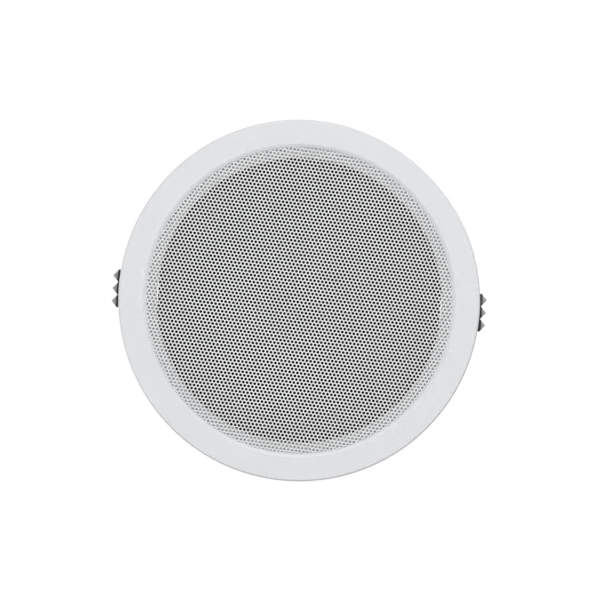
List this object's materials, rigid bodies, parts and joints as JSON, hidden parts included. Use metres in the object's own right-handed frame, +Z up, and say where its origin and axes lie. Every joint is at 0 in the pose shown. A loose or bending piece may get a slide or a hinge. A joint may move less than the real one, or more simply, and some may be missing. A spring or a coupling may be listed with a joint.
{
  "type": "in-ceiling speaker",
  "caption": "Round in-ceiling speaker with a flat moulded rim, a flush perforated grille, a cone driver behind it and sprung toothed clips that hold it in a ceiling cut-out.",
  "frame": {"origin": "on the axis of the cone, in the plane of the rim's back, which lies against the ceiling", "axes": "+Z up into the ceiling void, so the grille faces -Z; the two spring clips stand on +X and -X; the terminals are on -Y"},
  "size_m": [0.202, 0.195, 0.064],
  "materials": {
    "frame_plastic": "satin",
    "grille_paint": "satin",
    "basket_black": "satin",
    "screw_zinc": "satin",
    "surround_rubber": "matte",
    "cone_paper": "matte",
    "coil_copper": "satin",
    "spider_cloth": "matte",
    "motor_zinc": "satin",
    "ferrite": "matte",
    "strip_board": "matte",
    "tag_brass": "satin",
    "lead_braid": "matte",
    "clip_steel": "satin",
    "spring_steel": "satin"
  },
  "bodies": {
    "frame": {"front_frame": "frame_plastic", "grille_mesh": "grille_paint", "basket": "basket_black", "driver_screws": "screw_zinc", "surround": "surround_rubber", "spider": "spider_cloth", "top_plate": "motor_zinc", "magnet": "ferrite", "t_yoke": "motor_zinc", "terminal_strip": "strip_board", "terminal_tags": "tag_brass", "tinsel_leads": "lead_braid", "clip_pins": "clip_steel", "clip_spring_right": "spring_steel", "clip_spring_left": "spring_steel"},
    "cone_assembly": {"cone": "cone_paper", "dust_cap": "cone_paper", "voice_coil": "coil_copper"},
    "clip_right": {"clip_arm_right": "clip_steel"},
    "clip_left": {"clip_arm_left": "clip_steel"}
  },
  "joints": [
    {"name": "clip_right_swing", "type": "hinge", "parent": "frame", "child": "clip_right", "pos_m": [0.08, 0, 0.024], "axis": [0, -1, 0], "range_deg": [0, 139], "stiffness_Nm_per_rad": 0.1, "springref_deg": -85.94, "deforming": ["clip_spring_right"]},
    {"name": "clip_left_swing", "type": "hinge", "parent": "frame", "child": "clip_left", "pos_m": [-0.08, 0, 0.024], "axis": [0, 1, 0], "range_deg": [0, 139], "stiffness_Nm_per_rad": 0.1, "springref_deg": -85.94, "deforming": ["clip_spring_left"]},
    {"name": "cone_travel", "type": "slide", "parent": "frame", "child": "cone_assembly", "axis": [0, 0, 1], "range_m": [-0.003, 0.003], "stiffness_N_per_m": 1500, "deforming": ["surround", "spider", "tinsel_leads"]}
  ]
}
